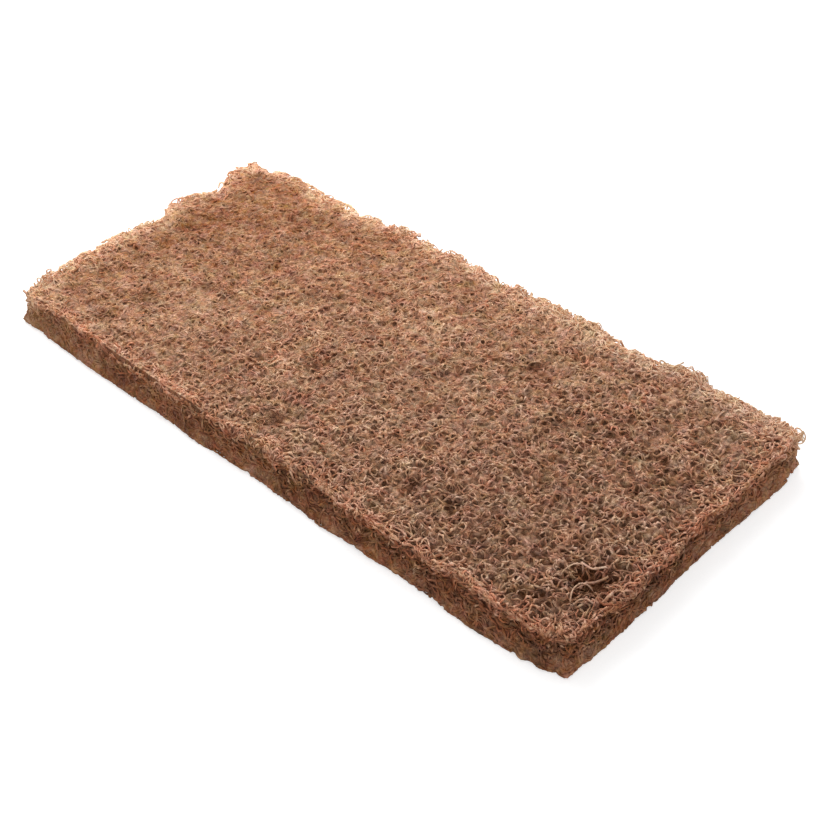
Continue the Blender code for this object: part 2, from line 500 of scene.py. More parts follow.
def fibre_piece(name, paths, radii, tones, reds):
    """One object that holds many closed tubes, with three attributes of its points: tone, from dark to
    pale along each fibre, red, a share of orange red for each fibre, and how open the web is there."""
    count, points = radii.shape
    paths = np.concatenate([paths[..., :2], np.maximum(paths[..., 2:], radii[..., None])], axis=-1)
    rings = tube_rings(paths, radii)
    start = np.arange(count)[:, None, None] * points * SIDES
    here = start + np.arange(points - 1)[None, :, None] * SIDES
    spoke = np.arange(SIDES)[None, None, :]
    beside = (spoke + 1) % SIDES
    quads = np.stack([here + spoke, here + beside, here + SIDES + beside, here + SIDES + spoke], axis=-1)
    first = start[:, 0] + np.array([[2, 1, 0]])
    last = start[:, 0] + (points - 1) * SIDES + np.array([[0, 1, 2]])
    ends = np.stack([first, last], axis=1)
    piece = mesh_object(name, rings, [quads.reshape(-1, 4), ends.reshape(-1, 3)])
    uv = piece.data.uv_layers.new(name="OFBake")
    uv.data.foreach_set("uv", strip_coordinates(count, points).ravel())
    face = face_share(paths[..., 2])
    near = near_rim(paths[..., 0], paths[..., 1])
    opened = shown_open(paths) * (1 - NEAR_CLOSED * near)
    point_values(piece.data, "tone", np.repeat(np.clip(tones, 0, 1), SIDES))
    point_values(piece.data, "red", np.repeat(reds[:, None] + NEAR_RED * near * face, SIDES))
    point_values(piece.data, "open", np.repeat(opened, SIDES))
    triangles = 2 * quads[..., 0].size + 2 * count
    print(f"{name}: {count} fibres, {triangles} triangles, {count * (points - 1) * STEP:.1f} m")
    return piece


# %% [markdown]
# ## Where the web is matted and where it is open
# At its far left the pad in the photograph is matted and almost closed, and towards its near right
# corner it opens into a net with small dark holes. One number says so for every place, a sloping plane
# from 0 to 1, and it scales the holes, the depth of the fibres and their contrast. The holes lie one
# to a cell of a square grid, moved off its middle by chance, so each place is compared with only nine
# of them. Fibres part round them, as threads do round a needle.

# %% Small holes in the web
HOLE_SPACING = 0.0023
HOLE_JITTER = 0.34
HOLE_RADII = (0.0003, 0.0012)
HOLE_GROWTH = (0.40, 0.72)
HOLE_EASE = 0.00025
HOLE_SIDESTEP = 0.8
OPEN_ALONG = 0.42
OPEN_ACROSS = -0.20
RELIEF = (0.12, 0.92)
OPEN_FROM = 0.3
OPEN_SHADE = 0.12
MATTED_TO = 0.4
MATTED_SHADE = 0.50
NEAR_REACH = 0.0045
FACE_LEVELS = (0.0045, 0.0020)
SIDE_OPEN = 0.45


def open_share(x, y):
    """How open the web is, from 0 at the far left end to 1 at the near right corner: a sloping plane."""
    return np.clip(0.5 + OPEN_ALONG * x / cad_high.x + OPEN_ACROSS * y / cad_high.y, 0, 1)


def face_share(z):
    """How much heights are the top face's: 0 down to the sides and the underside, 1 near the top."""
    return ramp(cad_high.z - z, *FACE_LEVELS)


def shown_open(places):
    """How open the web looks at places: less on the sides and the underside than on the top face."""
    face = face_share(places[..., 2])
    return open_share(places[..., 0], places[..., 1]) * (SIDE_OPEN + (1 - SIDE_OPEN) * face)


def web_relief(x, y):
    """How far the web's fibres rise and sink, as a share: little where it is matted, all where it is open."""
    return RELIEF[0] + RELIEF[1] * open_share(x, y)


def web_shade(opened):
    """How much darker the web's tone is made where it is open, towards the near corner, and where it is
    matted, at the far end. Both are painted shade, which takes down how bright the lamps leave those parts.
    """
    return OPEN_SHADE * np.maximum(opened - OPEN_FROM, 0) + MATTED_SHADE * np.maximum(MATTED_TO - opened, 0)


def from_edge(x, y, axis, side):
    """How far places in plan lie inside one edge of the top rim, and their share of its length."""
    where, out = EDGE_LINES[axis, side]
    value, other = (x, y) if axis == 0 else (y, x)
    return side * (np.interp(other, where, out) - value), ramp(other, where[0], where[-1])


def near_rim(x, y):
    """How near places in plan are to the two edges that face the camera: a bell from each."""
    return np.minimum(sum(bell(from_edge(x, y, *edge)[0], NEAR_REACH) for edge in NEAR_EDGES), 1)


def hole_field(seed):
    """Centres and radii of small holes in plan: one in each cell of a square grid, moved off the middle
    of its cell by chance, and wider where the web is open."""
    random = np.random.default_rng(seed)
    columns = math.ceil(cad_high.x / HOLE_SPACING) + 2
    rows = math.ceil(cad_high.y / HOLE_SPACING) + 2
    cells = np.meshgrid(np.arange(-columns, columns), np.arange(-rows, rows), indexing="ij")
    number = np.stack(cells, axis=-1)
    centres = (number + 0.5 + random.uniform(-HOLE_JITTER, HOLE_JITTER, number.shape)) * HOLE_SPACING
    radii = random.uniform(*HOLE_RADII, number.shape[:2])
    return centres, radii * (HOLE_GROWTH[0] + HOLE_GROWTH[1] * open_share(centres[..., 0], centres[..., 1]))


HOLE_CENTRES, HOLE_SIZES = hole_field(61)


def nearest_hole(plan):
    """For places in plan, the step from the nearest hole's centre and that hole's radius. The hole in a
    place's own cell and those in the eight cells round it are compared, all places at once."""
    columns, rows = HOLE_SIZES.shape
    cell = np.floor(plan / HOLE_SPACING).astype(int) + [columns // 2, rows // 2]
    nearest = np.full(plan.shape[:-1], np.inf)
    steps = np.zeros_like(plan)
    radii = np.zeros(plan.shape[:-1])
    for right in (-1, 0, 1):
        for up in (-1, 0, 1):
            column = np.clip(cell[..., 0] + right, 0, columns - 1)
            row = np.clip(cell[..., 1] + up, 0, rows - 1)
            step = plan - HOLE_CENTRES[column, row]
            away = np.linalg.norm(step, axis=-1)
            closer = away < nearest
            nearest = np.where(closer, away, nearest)
            steps = np.where(closer[..., None], step, steps)
            radii = np.where(closer, HOLE_SIZES[column, row], radii)
    return steps, radii


def part_round_holes(x, y):
    """Make fibres step aside round the small holes. Each place moves square to its fibre, away from the
    nearest hole's centre, by most of the hole's radius times a bell a little wider than the hole. The
    bell comes back too, since what lies close to a hole is in its shade."""
    plan = np.stack([x, y], axis=-1)
    forward = unit(np.gradient(plan, axis=1))
    steps, radii = nearest_hole(plan)
    share = bell(np.linalg.norm(steps, axis=-1), radii + HOLE_EASE)
    turn = np.sign(forward[..., 0] * steps[..., 1] - forward[..., 1] * steps[..., 0])
    aside = HOLE_SIDESTEP * turn * radii * share
    return x - forward[..., 1] * aside, y + forward[..., 0] * aside, share


# %% [markdown]
# ## Laying the web
# Each fibre rises and dives: its depth is a wave between a shallow and a deep level, and the deep part
# goes under the skin of the body, so only short arcs of it show and the web looks matted. The same
# wave sets the tone as painted light: high parts are painted pale as a highlight, and low parts darker
# as painted shade. A few dark places that the photograph shows are pits, so fibres sink there, and
# their tone is darkened there as painted shade. Light comes through the thin fringe of the two far
# edges, which tubes do not let through, so there the fibres are painted paler instead. Along the two
# near rims more red fibres show.

# %% Tone, depth and thickness along fibres
FIBRE_RADIUS = 0.00035
OWN_RADII = (0.75, 1.3)
END_RADIUS = 0.55
BEAD_SHARE = 0.06
BEAD_SWELL = (0.3, 0.9)
GLINT_SWELL = 0.45
GLINT_WAVES = (0.0024, 0.0050)
GLINT_DEEP = 0.3
GLINT = 0.40
TONE_SPREAD = 0.03
TONE_SWING = 0.20
SWING_OPEN = (0.10, 1.05)
PALE_REDS = (0, 0.16)
STRONG_REDS = (0.1, 0.4)
DIVE_WAVES = (0.0036, 0.0078)
TOP_SPREAD = 0.3
NEAR_RED = 0.14
FAR_PALE = 0.78
FAR_REACHES = (0.0054, 0.0018)
FAR_BLEND = 0.6
FAR_HEIGHTS = (0.3, 0.8)
FAR_LIMITS = (-0.5, 1.0)
# For each edge, its axis and side, the light through its fringe at its two ends; less than nought is shade
LIT_EDGES = {(0, -1): (1.0, 0.9), (1, 1): (0.9, 1.0), (0, 1): (-0.05, 0.15), (1, -1): (0.45, -0.05)}
PIT_SINK = 0.0016
PIT_SHADE = 0.6
# Place in plan, size and strength of each pit
PITS = np.array([
    (-0.1104, 0.0117, 0.0034, 0.45), (0.0416, 0.0297, 0.0036, 0.50), (-0.0044, -0.0443, 0.0034, 0.45),
    (-0.0894, -0.0293, 0.0034, 0.35), (-0.0294, -0.0253, 0.0034, 0.35), (0.1136, 0.0197, 0.0040, 0.40),
    (0.1036, 0.0177, 0.0036, 0.35), (0.0646, 0.0117, 0.0036, 0.35), (-0.0144, -0.0153, 0.0040, 0.30),
    (-0.0684, 0.0157, 0.0034, 0.30), (0.0516, -0.0363, 0.0034, 0.35), (-0.0914, -0.0453, 0.0034, 0.30),
    (-0.0704, 0.0337, 0.0034, 0.30), (0.1170, -0.0327, 0.0062, 0.95), (0.1079, -0.0483, 0.0040, 0.40),
    (0.0676, -0.0353, 0.0030, 0.30), (-0.0154, 0.0357, 0.0032, 0.30), (0.1036, 0.0047, 0.0030, 0.30),
])


def pit_share(x, y):
    """How much places in plan are in a pit: for each pit its strength times a bell of its size."""
    return sum(strength * bell(np.hypot(x - pit_x, y - pit_y), size) for pit_x, pit_y, size, strength in PITS)


def far_share(places):
    """How near places are to a top edge where light comes through the thin fringe: each edge's strength,
    which goes evenly from its one end to its other, times a blend of a broad bell of the distance
    inside and exp(-distance / narrow reach), added up and held between two limits. None of it reaches
    below three tenths of the pad's height, and all of it from eight tenths up."""
    x, y, z = np.moveaxis(places, -1, 0)
    share = np.zeros(x.shape)
    for edge, (start, end) in LIT_EDGES.items():
        inside, along = from_edge(x, y, *edge)
        inside = np.maximum(inside, 0)
        blend = FAR_BLEND * bell(inside, FAR_REACHES[0]) + (1 - FAR_BLEND) * np.exp(-inside / FAR_REACHES[1])
        share += (start + (end - start) * along) * blend
    return np.clip(share, *FAR_LIMITS) * ramp(z / cad_high.z, *FAR_HEIGHTS)


def fibre_radii(random, count, points, size=1.0, glints=0.0):
    """Radii along each fibre: its own thickness, thinner at the very ends, wider at beads of resin and
    where it glints."""
    own = FIBRE_RADIUS * size * random.uniform(*OWN_RADII, (count, 1))
    beads = 1 + (random.random((count, points)) < BEAD_SHARE) * random.uniform(*BEAD_SWELL, (count, points))
    ends = np.ones(points)
    ends[[0, -1]] = END_RADIUS
    return own * beads * ends * (1 + GLINT_SWELL * glints)


def weave(random, count, shallow, deep):
    """Depth along each fibre, from shallow to deep and back on a sine wave, and its rise: 1 where the
    fibre is shallowest and 0 where it is deepest."""
    distance = np.arange(FIBRE_POINTS) * STEP
    wave = random.uniform(*DIVE_WAVES, (count, 1))
    rise = 0.5 + 0.5 * np.sin(2 * np.pi * distance / wave + random.uniform(0, 2 * np.pi, (count, 1)))
    top = shallow + random.uniform(0, TOP_SPREAD, (count, 1)) * (deep - shallow)
    return top + (deep - top) * (1 - rise), rise


def fibre_tones(random, paths, rise, tone, red_share, lively=1.0):
    """Tones along the fibres, each fibre's share of red, and its glints. A tone is the fibre's own, plus
    a swing with the rise, painted highlight where the fibre is high and painted shade where it is deep,
    and short glints, which are painted highlights, both stronger where the web is open, less the web's
    painted shade, and more where light comes through the far edges. A glint is the cube of a short sine
    wave's crest, and less where the fibre is deep. lively is a share of the swing and the glints."""
    count, points = rise.shape
    own = random.normal(tone, TONE_SPREAD, (count, 1))
    opened = open_share(paths[..., 0], paths[..., 1])
    wave = random.uniform(*GLINT_WAVES, (count, 1))
    phase = random.uniform(0, 2 * np.pi, (count, 1))
    crests = np.maximum(np.sin(2 * np.pi * np.arange(points) * STEP / wave + phase), 0)
    glints = crests ** 3 * (GLINT_DEEP + (1 - GLINT_DEEP) * rise)
    swing = lively * (TONE_SWING * (rise - 0.5) + GLINT * glints) * (SWING_OPEN[0] + SWING_OPEN[1] * opened)
    reds = random.uniform(*PALE_REDS, count)
    reds += (random.random(count) < red_share) * random.uniform(*STRONG_REDS, count)
    return own + swing - web_shade(opened) + FAR_PALE * far_share(paths), reds, glints


# %% Fibres on the two faces
CROWDING = 0.80
HOLE_SHADE = 0.25
SHADE_OPEN = (0.3, 0.8)
NARROWING = (1.10, -0.28)
FACE_REDS = 0.05
# Name, sheet, seed, number of fibres, shallow and deep level, size and tone
FACE_WEBS = (
    ("top_web_low", top_face, 11, 320, 0.0007, 0.0020, 1.20, 0.42),
    ("top_web_middle", top_face, 12, 1150, 0.0003, 0.0018, 1.0, 0.45),
    ("top_web_high", top_face, 13, 1230, 0.0000, 0.0017, 0.9, 0.52),
    ("under_web_low", underside, 21, 230, 0.0006, 0.0016, 1.35, 0.40),
    ("under_web_high", underside, 22, 560, 0.0001, 0.0016, 1.1, 0.46),
)


def face_fibres(name, sheet, seed, count, shallow, deep, size, tone):
    """Fibres that wander over the top face or the underside, between two depths. Their middles' shares
    of the length are even random numbers to a power under one, so more lie at the near end; there they
    are thinner too, as the picture shows."""
    random = np.random.default_rng(seed)
    x, y = crimped_paths(random, count, random.uniform(0, 2 * np.pi, count), 1.0)
    x += cad_low.x + (cad_high.x - cad_low.x) * random.random((count, 1)) ** CROWDING
    y += random.uniform(cad_low.y, cad_high.y, (count, 1))
    x, y, shade = part_round_holes(*keep_inside(x, y))
    z = face_height(sheet, np.stack([x, y], axis=-1))
    depth, rise = weave(random, count, shallow, deep)
    depth *= web_relief(x, y)
    side = sheet["normals"][0, 0, 2]
    pit = pit_share(x, y) * (side > 0)
    z -= side * (depth + PIT_SINK * pit + FIBRE_RADIUS)
    paths = np.stack([x, y, z], axis=-1)
    opened = open_share(x, y)
    tones, reds, glints = fibre_tones(random, paths, rise, tone, FACE_REDS)
    tones -= PIT_SHADE * pit + HOLE_SHADE * shade * (SHADE_OPEN[0] + SHADE_OPEN[1] * opened)
    radii = fibre_radii(random, count, FIBRE_POINTS, size, glints) * (NARROWING[0] + NARROWING[1] * opened)
    return fibre_piece(name, paths, radii, tones, reds)


fibre_pieces = [face_fibres(*web) for web in FACE_WEBS]

# %% [markdown]
# ## The cut sides and the rims
# The web is laid down in layers, so on a cut side the fibres run mostly level, in long streaks. The
# same crimped paths are used, with headings close to the band's length and less curl. Over the rims
# the headings are free again, so that fibres roll over the edge and hide where two sheets meet.

# %% Fibres on the band
UNDER_RIM = band["across"][len(RIM_INSETS) - 1]
TOP_RIM = band["across"][-len(RIM_INSETS)]
STAND_PROUD = 0.0006
FOOT_HEIGHTS = (0.0015, 0.0050)
FOOT_WEAVE = 0.3
FOOT_SINK = 0.0001
FOOT_LIGHT = 0.12
RIM_SHADE = 0.12
SHADE_HEIGHTS = (0.25, 0.90)
LIT_SIDE_SHARE = 0.25
CORNER_LIGHT = 0.23
CORNER_REACH = 0.050
END_LIGHT = 0.05
SIDE_FALL = 0.26
SIDE_REACH = 0.0020
CALM_SIDES = 0.75
# The side webs' low tones are partly the deeper web that a cut side shows and partly painted shade, as on
# sides turned away from the lamps.
# Name, seed, number of fibres, lines between which their middles lie, spread of headings, curl,
# shallow and deep level, size, tone, share of red fibres, and part in the side's shade
BAND_WEBS = (
    ("side_web_low", 31, 210, UNDER_RIM, TOP_RIM - 0.001, 0.35, 0.60, 0.0005, 0.0013, 1.25, 0.05, 0, 1),
    ("side_web_high", 32, 480, UNDER_RIM, TOP_RIM - 0.001, 0.30, 0.65, 0.0001, 0.0011, 0.9, 0.08, 0.04, 1),
    ("rim_web_top", 33, 420, TOP_RIM + 0.0004, TOP_RIM + 0.0022, 0.55, 0.75, 0, 0.0012, 0.8, 0.46, 0.3, 0),
    ("rim_web_under", 34, 240, UNDER_RIM - 0.0012, UNDER_RIM + 0.0008, 0.4, 0.6, 0, 0.0006, 0.95, 0.11, 0, 1),
)


def side_shade(paths):
    """How much darker a side is under its upper rim than at its foot, which the pale ground lights:
    eased from nothing at a quarter of the height to all of it at nine tenths. It is less on the right
    end, near the two corners that the light from behind reaches: exp(-distance / reach), and on the
    two sides that face that light."""
    x, y, z = np.moveaxis(paths, -1, 0)
    share = ramp(z / cad_high.z, *SHADE_HEIGHTS)
    share *= np.where((x < cad_low.x + FACE_DEPTH) | (y > cad_high.y - FACE_DEPTH), LIT_SIDE_SHARE, 1.0)
    left = np.exp(-np.hypot(x - cad_low.x, y - cad_low.y) / CORNER_REACH)
    right = np.exp(-np.hypot(x - cad_high.x, y - cad_high.y) / CORNER_REACH)
    lit = FOOT_LIGHT + CORNER_LIGHT * (left + right) + END_LIGHT * (x > cad_high.x - FACE_DEPTH)
    return (FOOT_LIGHT + RIM_SHADE) * share * share * (3 - 2 * share) - lit


def fall_shade(across):
    """How much darker fibres are that hang over the top rim on to a side."""
    return SIDE_FALL * ramp(across, TOP_RIM, TOP_RIM - SIDE_REACH)


def band_places(along, across, depth):
    """Places on the band at distances along and across it, sunk by a depth against its normals."""
    row, column = sheet_rows(band, along % band_length, across)
    points = blend_grid(band["points"], row, column, closed=True)
    normals = unit(blend_grid(band["normals"], row, column, closed=True))
    return points - normals * depth[..., None]


def band_fibres(name, seed, count, low, high, spread, curl, shallow, deep, size, tone, red_share, shaded):
    """Fibres with their middles between two lines of the band, and headings spread about its length.
    shaded is how far they take part in the side's shade. Near the foot they lie almost on the skin."""
    random = np.random.default_rng(seed)
    heading = random.normal(0, spread, count) + np.pi * random.integers(0, 2, count)
    along, across = crimped_paths(random, count, heading, curl)
    along += random.uniform(0, band_length, (count, 1))
    across += random.uniform(low, high, (count, 1))
    across = turn_back(turn_back(across, band_width, 1), 0.0, -1)
    depth, rise = weave(random, count, shallow, deep)
    risen = ramp(across - UNDER_RIM, *FOOT_HEIGHTS)
    depth = depth * (FOOT_WEAVE + (1 - FOOT_WEAVE) * risen) + FOOT_SINK * (1 - risen)
    paths = band_places(along, across, depth + FIBRE_RADIUS - STAND_PROUD)
    tones, reds, glints = fibre_tones(random, paths, rise, tone, red_share, 1.0 - CALM_SIDES * shaded)
    tones -= shaded * side_shade(paths) + (1 - shaded) * fall_shade(across)
    radii = fibre_radii(random, count, FIBRE_POINTS, size, glints)
    return fibre_piece(name, paths, radii, tones, reds)


fibre_pieces += [band_fibres(*web) for web in BAND_WEBS]

# %% [markdown]
# ## Loops and tufts on the edges
# Where the knife passed, loops of fibre stand out and the light comes through them. Each loop goes out
# from the band and back: outward it is half a sine wave, along the band half a cosine wave, and across
# it a small full wave. Tufts are crowds of larger loops, at the places where the photograph shows them.

# %% Edge loops
LOOP_POINTS = 15
LOOP_ROOT = 0.0011
LOOP_LENGTH = 0.55
LOOP_CURL = 0.30
LOOP_WAVE = 0.35
LOOP_SLANT = 0.7
LOOP_SIZE = 0.7
LOOP_LIVELY = 0.6
# Place in plan and reach of each tuft
TUFTS = np.array([
    (-0.129, 0.046, 0.0026), (-0.127, 0.059, 0.0026), (-0.131, 0.021, 0.0032), (-0.130, -0.049, 0.0040),
    (-0.130, -0.005, 0.0028), (-0.129, -0.030, 0.0022), (-0.104, 0.060, 0.0028), (-0.087, 0.060, 0.0032),
    (-0.063, 0.060, 0.0018), (-0.051, 0.061, 0.0024), (-0.030, 0.061, 0.0026), (-0.018, 0.061, 0.0032),
    (-0.009, 0.061, 0.0030), (0.009, 0.061, 0.0024), (0.028, 0.061, 0.0034), (0.041, 0.060, 0.0026),
    (0.048, 0.060, 0.0030), (0.077, 0.061, 0.0028), (0.086, 0.061, 0.0040), (0.099, 0.059, 0.0028),
    (0.112, 0.058, 0.0020), (0.120, 0.058, 0.0028), (0.128, 0.055, 0.0034), (0.129, 0.048, 0.0028),
])
TUFT_LOOPS = 16
TUFT_SPREAD = 0.0030
TUFT_DROP = (0.0012, 0.0010)
TUFT_REACHES = (0.45, 1.0)
ROUND_LOOPS = 460
ROUND_FROM = 0.0055
ROUND_PAST = 0.001
ROUND_REACHES = (0.0008, 0.0019)


def loop_paths(random, along, across, reach):
    """Paths that go out from the band and come back. In t from 0 to 1: outward, reach times sin(pi t)
    less a root inside the web; along, a share of the reach times -cos(pi t), and a curl, sin(3 pi t)
    with a start of its own; across, a wave, sin(2 pi t) with a start of its own, and a slant."""
    count = len(along)
    t = np.linspace(0, 1, LOOP_POINTS)
    phase = random.uniform(0, 2 * np.pi, (2, count, 1))
    reach = reach[:, None]
    slant = random.uniform(-LOOP_SLANT, LOOP_SLANT, (count, 1))
    forward = reach * (-LOOP_LENGTH * np.cos(np.pi * t) + LOOP_CURL * np.sin(3 * np.pi * t + phase[0]))
    sideways = reach * (LOOP_WAVE * np.sin(2 * np.pi * t + phase[1]) + slant * np.sin(np.pi * t))
    outward = reach * np.sin(np.pi * t) - LOOP_ROOT
    return band_places(along[:, None] + forward, across[:, None] + sideways, -outward)


def edge_loops(name, seed, along, across, reach, tone, red_share):
    """Loops of given reach that stand out of the band."""
    random = np.random.default_rng(seed)
    paths = loop_paths(random, along, across, reach)
    rise = np.full((len(along), LOOP_POINTS), 0.5)
    tones, reds, glints = fibre_tones(random, paths, rise, tone, red_share, LOOP_LIVELY)
    tones -= fall_shade(across[:, None])
    radii = fibre_radii(random, len(along), LOOP_POINTS, LOOP_SIZE, glints)
    return fibre_piece(name, paths, radii, tones, reds)


def tuft_places(random):
    """Places of the tufts' loops on the band: the nearest point of the top rim to each tuft, spread out."""
    nearest = np.linalg.norm(top_ring[None] - TUFTS[:, None, :2], axis=-1).argmin(axis=1)
    along = np.repeat(band["along"][nearest], TUFT_LOOPS)
    along += random.normal(0, TUFT_SPREAD, len(along))
    across = TOP_RIM - TUFT_DROP[0] + random.normal(0, TUFT_DROP[1], len(along))
    reach = np.repeat(TUFTS[:, 2], TUFT_LOOPS) * random.uniform(*TUFT_REACHES, len(along))
    return along, across, reach


def round_places(random):
    """Places of single loops anywhere round the band, from above the foot to just past the top rim."""
    along = random.uniform(0, band_length, ROUND_LOOPS)
    across = random.uniform(UNDER_RIM + ROUND_FROM, TOP_RIM + ROUND_PAST, ROUND_LOOPS)
    return along, across, random.uniform(*ROUND_REACHES, ROUND_LOOPS)


# Name, seed, function that places them, tone, and share of red loops
# The tufts' high tone is painted light: it stands for the light that comes through them.
LOOP_KINDS = (("edge_tufts", 42, tuft_places, 0.78, 0.15), ("edge_loops", 43, round_places, 0.42, 0.06))
chance = np.random.default_rng(41)
for name, seed, places_of, tone, red_share in LOOP_KINDS:
    fibre_pieces.append(edge_loops(name, seed, *places_of(chance), tone, red_share))

# %% [markdown]
# ## Curls that stand out by name
# Near the right front corner the photograph shows a deep pit with bright curls across it, and further
# left one long dark curl. Each is written as a few places in plan and drawn as a smooth path: a
# Catmull-Rom curve, which passes through every place that it is given.

# %% Curls at the pit
CURL_LIFT = 0.0004
CURL_ENDS = 0.0022
CURL_POWER = 5
CURL_RISE = 0.0012
CURL_SIZE = 0.85
# Each curl's tone, and its places in plan in tenths of a millimetre
CURLS = (
    (0.66, ((1106, -292), (1114, -303), (1135, -306), (1155, -303), (1170, -282), (1174, -259))),
    (0.68, ((1180, -432), (1172, -418), (1162, -394), (1164, -370), (1179, -360), (1197, -354))),
    (0.62, ((1192, -438), (1200, -419), (1208, -411), (1214, -403), (1232, -403), (1240, -392))),
    (0.60, ((1092, -368), (1096, -354), (1101, -326), (1112, -313), (1122, -309), (1130, -318))),
    (0.58, ((1160, -366), (1170, -355), (1187, -337), (1198, -311), (1200, -296), (1190, -284))),
    (0.02, ((797, -425), (795, -411), (794, -377), (803, -344), (828, -333), (853, -333))),
)


def through_places(places, points):
    """A smooth path through places: between two of them, the cubic whose slope at each is half the
    step from the place before it to the place after it."""
    wide = np.concatenate([2 * places[:1] - places[1:2], places, 2 * places[-1:] - places[-2:-1]])
    at = np.linspace(0, len(places) - JUST_OVER_ONE, points)
    step = np.floor(at).astype(int)
    t = (at - step)[:, None]
    before, start, end, after = (wide[step + shift] for shift in range(4))
    bend = 2 * before - 5 * start + 4 * end - after
    rest = 3 * start - before - 3 * end + after
    return 0.5 * (2 * start + t * (end - before) + t ** 2 * bend + t ** 3 * rest)


def named_curls(name, seed):
    """The named curls, each over the top face at its places, dipping into the web at both ends by the
    fifth power of the share from the middle."""
    random = np.random.default_rng(seed)
    plans = np.stack([through_places(np.array(places) / 10000, FIBRE_POINTS) for _, places in CURLS])
    level = cad_high.z - CURL_LIFT - CURL_ENDS * np.abs(np.linspace(-1, 1, FIBRE_POINTS)) ** CURL_POWER
    ends = face_height(top_face, plans[:, [0, -1]]).mean(axis=1, keepdims=True)
    heights = np.minimum(level, ends + CURL_RISE + level - level.max())
    paths = np.concatenate([plans, heights[..., None]], axis=-1)
    tones = np.repeat(np.array([[tone] for tone, _ in CURLS]), FIBRE_POINTS, axis=1)
    radii = fibre_radii(random, len(CURLS), FIBRE_POINTS, CURL_SIZE)
    return fibre_piece(name, paths, radii, tones, np.zeros(len(CURLS)))


fibre_pieces.append(named_curls("pit_curls", 51))

# %% [markdown]
# ## The inside of the web
# Under the top fibres lies more web, matted too thick to see through. The body is the measured solid
# itself, merged into one skin and drawn in along its normals, so it has the same lumps, pits and ragged
# sides. The diving fibres pass through its skin. Subdivision Surface parts each of its faces in
# sixteen, which is fine enough to sink the small holes, and its material draws the deeper fibres.

# %% Draw the solid in to make the body
BODY_DEPTH = 0.0009
FOOT_DEPTH = -0.0003
FLOOR_GAP = 0.0001
HOLE_SINK = 0.0011
HOLE_MASK = (0.30, 0.80)
PIT_MASK = 0.7
BODY_TONE = 0.42
SIDE_TONE = 0.04
SIDE_PALE = 0.35
FACE_TILT = 0.5
DIVISIONS = 2
MERGE_REACH = 0.00002


def quads_of(source, name):
    """A copy of a triangle mesh as an object, its doubled points merged and its triangles joined in
    pairs to four-cornered faces, which subdivide evenly."""
    shape = bmesh.new()
    shape.from_mesh(source)
    bmesh.ops.remove_doubles(shape, verts=shape.verts, dist=MERGE_REACH)
    bmesh.ops.join_triangles(shape, faces=shape.faces, angle_face_threshold=math.pi,
                             angle_shape_threshold=math.pi)
    mesh = bpy.data.meshes.new(name)
    shape.to_mesh(mesh)
    shape.free()
    copy = bpy.data.objects.new(name, mesh)
    bpy.context.scene.collection.objects.link(copy)
    return copy


def make_body():
    """The solid with each face divided in sixteen, its points moved in along their normals, but a little
    out at the foot, notches at the foot filled, small holes sunk into both faces and pits into the top."""
    body = quads_of(solid.data, "web_body")
    divide = body.modifiers.new("divide", "SUBSURF")
    divide.levels = DIVISIONS
    fine = bpy.data.meshes.new_from_object(body.evaluated_get(bpy.context.evaluated_depsgraph_get()))
    body.modifiers.clear()
    body.data = fine
    places = np.empty(3 * len(fine.vertices))
    fine.vertices.foreach_get("co", places)
    ways = np.empty(3 * len(fine.vertices))
    fine.vertex_normals.foreach_get("vector", ways)
    places = places.reshape(-1, 3)
    ways = ways.reshape(-1, 3)
    risen = ramp(places[:, 2:], *FOOT_HEIGHTS)
    depth = BODY_DEPTH * web_relief(places[:, :1], places[:, 1:2])
    places -= (FOOT_DEPTH + (depth - FOOT_DEPTH) * risen) * ways
    places = fill_notches(places)
    level = ramp(np.abs(ways[:, 2]), FACE_TILT, 1.0)
    steps, radii = nearest_hole(places[:, :2])
    hole = level * bell(np.linalg.norm(steps, axis=-1), radii + HOLE_EASE)
    pit = pit_share(places[:, 0], places[:, 1]) * (ways[:, 2] > FACE_TILT)
    opened = open_share(places[:, 0], places[:, 1])
    places[:, 2] -= np.sign(ways[:, 2]) * HOLE_SINK * hole + PIT_SINK * pit
    places[:, 2] = np.maximum(places[:, 2], FLOOR_GAP)
    fine.vertices.foreach_set("co", places.ravel())
    # The body's tone holds painted shade on the sides, under the rim, in pits and where the web is open or
    # matted, and painted light near the far fringe; its low side tone is partly painted shade too.
    tone = BODY_TONE * level + (SIDE_TONE - side_shade(places)) * (1 - level) - web_shade(opened)
    tone += FAR_PALE * (SIDE_PALE + (1 - SIDE_PALE) * level) * far_share(places)
    point_values(fine, "tone", np.clip(tone - PIT_SHADE * pit, 0, 1))
    # The hole share is painted shade: it sets how far the body's colour goes to near black in the small holes
    # and pits.
    point_values(fine, "hole", np.clip(hole * (HOLE_MASK[0] + HOLE_MASK[1] * opened) + PIT_MASK * pit, 0, 1))
    point_values(fine, "open", shown_open(places))
    fine.materials.clear()
    fine.shade_smooth()
    fine.calc_loop_triangles()
    print("web_body:", len(fine.polygons), "faces,", len(fine.loop_triangles), "triangles")
    return body


web_body = make_body()

# %% [markdown]
# ## Finishes
# Each effect is a node group with named sockets, so that it can be used again with other values. One
# spreads slow patches over the pad, as an uneven web has. One draws curly lines where a noise passes its
# middle value, which look like fibres lying deeper. One is the grit of the abrasive. They read Object
# coordinates, so nothing slides when the pad is moved.

# %% Node helpers
def new_group(name, inputs, outputs):
    """A node group with number inputs (name to usual value) and outputs (name to socket type)."""
    group = bpy.data.node_groups.new(name, "ShaderNodeTree")
    for label, value in inputs.items():
        socket = group.interface.new_socket(label, in_out="INPUT", socket_type="NodeSocketFloat")
        socket.default_value = value
    for label, kind in outputs.items():
        group.interface.new_socket(label, in_out="OUTPUT", socket_type=kind)
    return group, group.nodes.new("NodeGroupInput"), group.nodes.new("NodeGroupOutput")


